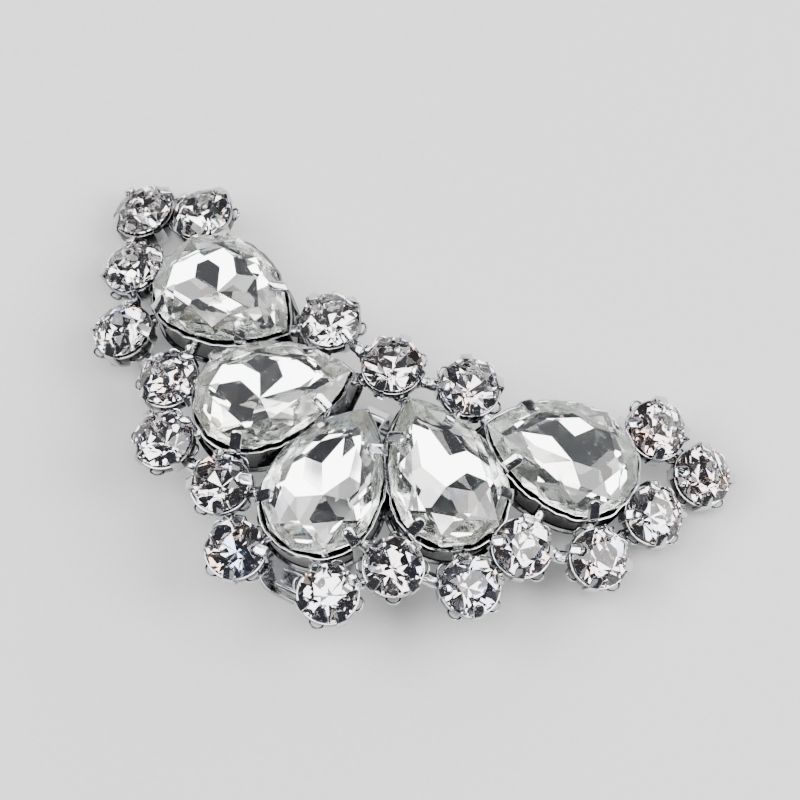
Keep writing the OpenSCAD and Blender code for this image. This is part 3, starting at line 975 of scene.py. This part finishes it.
def polished_metal(name, colour, tarnish, roughness, scratches, smears, waves, bump_height):
    """A polished metal with traces of wear, and painted shade down the walls of trays and cups."""
    material, tree, shader, coordinates = new_material(name)
    traces = add(tree, "ShaderNodeGroup")
    traces.node_tree = wear
    tree.links.new(coordinates, traces.inputs["Coordinates"])
    traces.inputs["Scratches"].default_value = scratches
    traces.inputs["Smears"].default_value = smears
    traces.inputs["Waves"].default_value = waves
    shader.inputs["Metallic"].default_value = 1.0
    # Painted shade: the colour is darkened down the walls by the depth stored with trays and cups
    below = add(tree, "ShaderNodeAttribute", attribute_name="depth")
    painted_shade = add(tree, "ShaderNodeValToRGB")
    stops = painted_shade.color_ramp.elements
    while len(stops) < len(PAINTED_SHADE_BY_DEPTH):
        stops.new(1.0)
    for stop, (share, shade) in zip(stops, PAINTED_SHADE_BY_DEPTH):
        stop.position = share
        stop.color = (shade, shade, shade, 1)
    tree.links.new(below.outputs["Fac"], painted_shade.inputs["Fac"])
    colour_with_painted_shade = add(tree, "ShaderNodeMix", data_type="RGBA", blend_type="MULTIPLY")
    colour_with_painted_shade.inputs[MIX_SHARE].default_value = 1.0
    worn = blend_colours(tree, traces.outputs["Tarnish"], colour, tarnish)
    tree.links.new(worn, colour_with_painted_shade.inputs[MIX_FIRST])
    tree.links.new(painted_shade.outputs["Color"], colour_with_painted_shade.inputs[MIX_SECOND])
    tree.links.new(colour_with_painted_shade.outputs[MIX_RESULT], shader.inputs["Base Color"])
    tree.links.new(do_math(tree, "ADD", traces.outputs["Roughness"], roughness), shader.inputs["Roughness"])
    bump_up(tree, shader, traces.outputs["Height"], bump_height)
    return material


plating, frozen_solder, clip_steel = [polished_metal(name, *values) for name, values in METALS.items()]


def dress(piece, *materials):
    """Gives a piece these materials in its slots."""
    piece.data.materials.clear()
    for material in materials:
        piece.data.materials.append(material)


for setting in settings:
    dress(setting, plating)
dress(solder, frozen_solder)
dress(clip, clip_steel)
print("metals:", ", ".join(METALS))

# %% [markdown]
# ## Glass and foil
# Fancy stones like these are pressed glass with a silvered back. Light goes in through the crown, is
# thrown back by the silver of the pavilion and comes out again, which gives the bright and dark facets.
# The glass is a clear shader with the index of lead-free crystal. Its colour and roughness vary a
# little, as on glass that has been touched, so that no facet is perfectly even.

# %% Glass
GLASS_IOR = 1.56
# Most roughness that a finger leaves on the glass, and height of the waves in metres
GREASE = 0.02
GLASS_WAVES = 0.0000015
# Patches of grease and waves to the metre
GREASE_SCALE = 420.0
GLASS_WAVE_SCALE = 500.0
WHITE = (1, 1, 1, 1)


def cut_glass(name, colour):
    """Clear glass with faint waves from pressing."""
    material, tree, shader, coordinates = new_material(name)
    shader.inputs["Transmission Weight"].default_value = 1.0
    shader.inputs["IOR"].default_value = GLASS_IOR
    grease = noise(tree, coordinates, GREASE_SCALE, 2.0)
    tree.links.new(blend_colours(tree, grease, colour, WHITE), shader.inputs["Base Color"])
    tree.links.new(do_math(tree, "MULTIPLY", grease, GREASE), shader.inputs["Roughness"])
    bump_up(tree, shader, noise(tree, coordinates, GLASS_WAVE_SCALE, 0.0), GLASS_WAVES)
    return material


pear_glass = cut_glass("pear_glass", (0.99, 0.99, 0.975, 1))
round_glass = cut_glass("round_glass", (0.99, 0.985, 0.99, 1))
print("glass:", pear_glass.name, round_glass.name)

# %% [markdown]
# ## Silvering
# The silvering is a mirror that is seen through the glass. Cut glass also splits white light into
# colours, which is the fire of a stone. The renderer doesn't follow that, so a few random cells of the
# mirror are tinted warm or cool instead. Near the girdle of a pear the silvering is thin and hazy,
# which gives its edge a soft grey. That of the round stones is darker and warmer.

# %% Silvering
# Cells whose random value lies above these are warm, and then cool
WARM_FROM = 0.84
COOL_FROM = 0.92
# Noise above this value is a dull speck, and how much rougher a speck is
SPECK_FROM = 0.84
SPECK_ROUGHNESS = 0.12
# Cells, specks and waves to the metre
CELL_SCALE = 700.0
SPECK_SCALE = 9000.0
SILVER_WAVE_SCALE = 330.0
# Columns: colour, warm and cool colour, roughness, height of the waves in metres
SILVERINGS = {
    "pear_silvering": (
        (0.97, 0.975, 0.96, 1), (0.96, 0.93, 0.86, 1), (0.88, 0.93, 0.97, 1), 0.03, 0.000007),
    "thin_silvering": (
        (0.79, 0.805, 0.785, 1), (0.84, 0.80, 0.73, 1), (0.72, 0.78, 0.84, 1), 0.12, 0.00001),
    "round_silvering": (
        (0.73, 0.71, 0.705, 1), (0.80, 0.64, 0.54, 1), (0.62, 0.68, 0.78, 1), 0.02, 0.000002),
}


def silvered_back(name, colour, warm, cool, roughness, wave_height):
    """Silvering behind glass, with faint waves, specks, and warm and cool flashes."""
    material, tree, shader, coordinates = new_material(name)
    shader.inputs["Metallic"].default_value = 1.0
    flashes = add(tree, "ShaderNodeTexVoronoi", Scale=CELL_SCALE)
    tree.links.new(coordinates, flashes.inputs["Vector"])
    tint = add(tree, "ShaderNodeValToRGB")
    tint.color_ramp.interpolation = "CONSTANT"
    stops = tint.color_ramp.elements
    stops[0].position, stops[0].color = 0.0, colour
    stops[1].position, stops[1].color = WARM_FROM, warm
    stop = stops.new(COOL_FROM)
    stop.color = cool
    split = add(tree, "ShaderNodeSeparateColor")
    tree.links.new(flashes.outputs["Color"], split.inputs[0])
    tree.links.new(split.outputs[0], tint.inputs["Fac"])
    tree.links.new(tint.outputs["Color"], shader.inputs["Base Color"])
    specks = do_math(tree, "GREATER_THAN", noise(tree, coordinates, SPECK_SCALE, 0.0), SPECK_FROM)
    dull = do_math(tree, "MULTIPLY", specks, SPECK_ROUGHNESS)
    tree.links.new(do_math(tree, "ADD", dull, roughness), shader.inputs["Roughness"])
    bump_up(tree, shader, noise(tree, coordinates, SILVER_WAVE_SCALE, 0.0), wave_height)
    return material


pear_silver, thin_silver, round_silver = [
    silvered_back(name, *values) for name, values in SILVERINGS.items()
]
print("silverings:", ", ".join(SILVERINGS))

# %% [markdown]
# ## Dressing the stones
# Each stone keeps its mesh from the frame, because its facets are exact there. Its crown and girdle are
# glass, and the facets that look down are silvered, so light inside meets a mirror. A material slot per
# face is all it takes, and the stone stays one closed shape.

# %% Dressing the stones
# Places of the materials in a stone's slots
GLASS, SILVER, THIN_SILVER = 0, 1, 2
# A face that looks down by more than this is silvered, and thinly so if it lies less deep than this
LOOKS_DOWN = -0.2
THIN_ABOVE = 1.0


def coat(name, spot, thin_above, *materials):
    """Gives a stone of the frame its materials, and each of its faces the right one."""
    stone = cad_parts[name]
    dress(stone, *materials)
    normal = (spot.to_3x3() @ Vector((0, 0, 1))).normalized()
    for face in stone.data.polygons:
        depth = (spot.translation - face.center / MM).dot(normal)
        if face.normal.dot(normal) > LOOKS_DOWN:
            face.material_index = GLASS
        else:
            face.material_index = THIN_SILVER if depth < thin_above else SILVER


for name, spot in zip(PEAR_NAMES, pear_spots):
    coat(name, spot, THIN_ABOVE, pear_glass, pear_silver, thin_silver)
for name, spot in zip(ROUND_NAMES, round_spots):
    coat(name, spot, -math.inf, round_glass, round_silver)
coats = [face.material_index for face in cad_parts["pear_stone_1"].data.polygons]
shares = [coats.count(place) for place in (GLASS, SILVER, THIN_SILVER)]
print("faces of a pear, glass, silvered, thinly silvered:", shares)

# %% [markdown]
# ## The board's surface
# The board is a little uneven in colour, like thick paper, and so matt that it mirrors next to nothing.

# %% Floor finish
BOARD_COLOURS = ((0.78, 0.78, 0.77, 1), (0.84, 0.84, 0.83, 1))
BOARD_ROUGHNESS = 0.85
FIBRE_SCALE = 1500.0
board, tree, shader, coordinates = new_material("pale_board")
fibres = noise(tree, coordinates, FIBRE_SCALE, 3.0)
tree.links.new(blend_colours(tree, fibres, *BOARD_COLOURS), shader.inputs["Base Color"])
shader.inputs["Roughness"].default_value = BOARD_ROUGHNESS
dress(floor, board)
print("floor:", board.name)
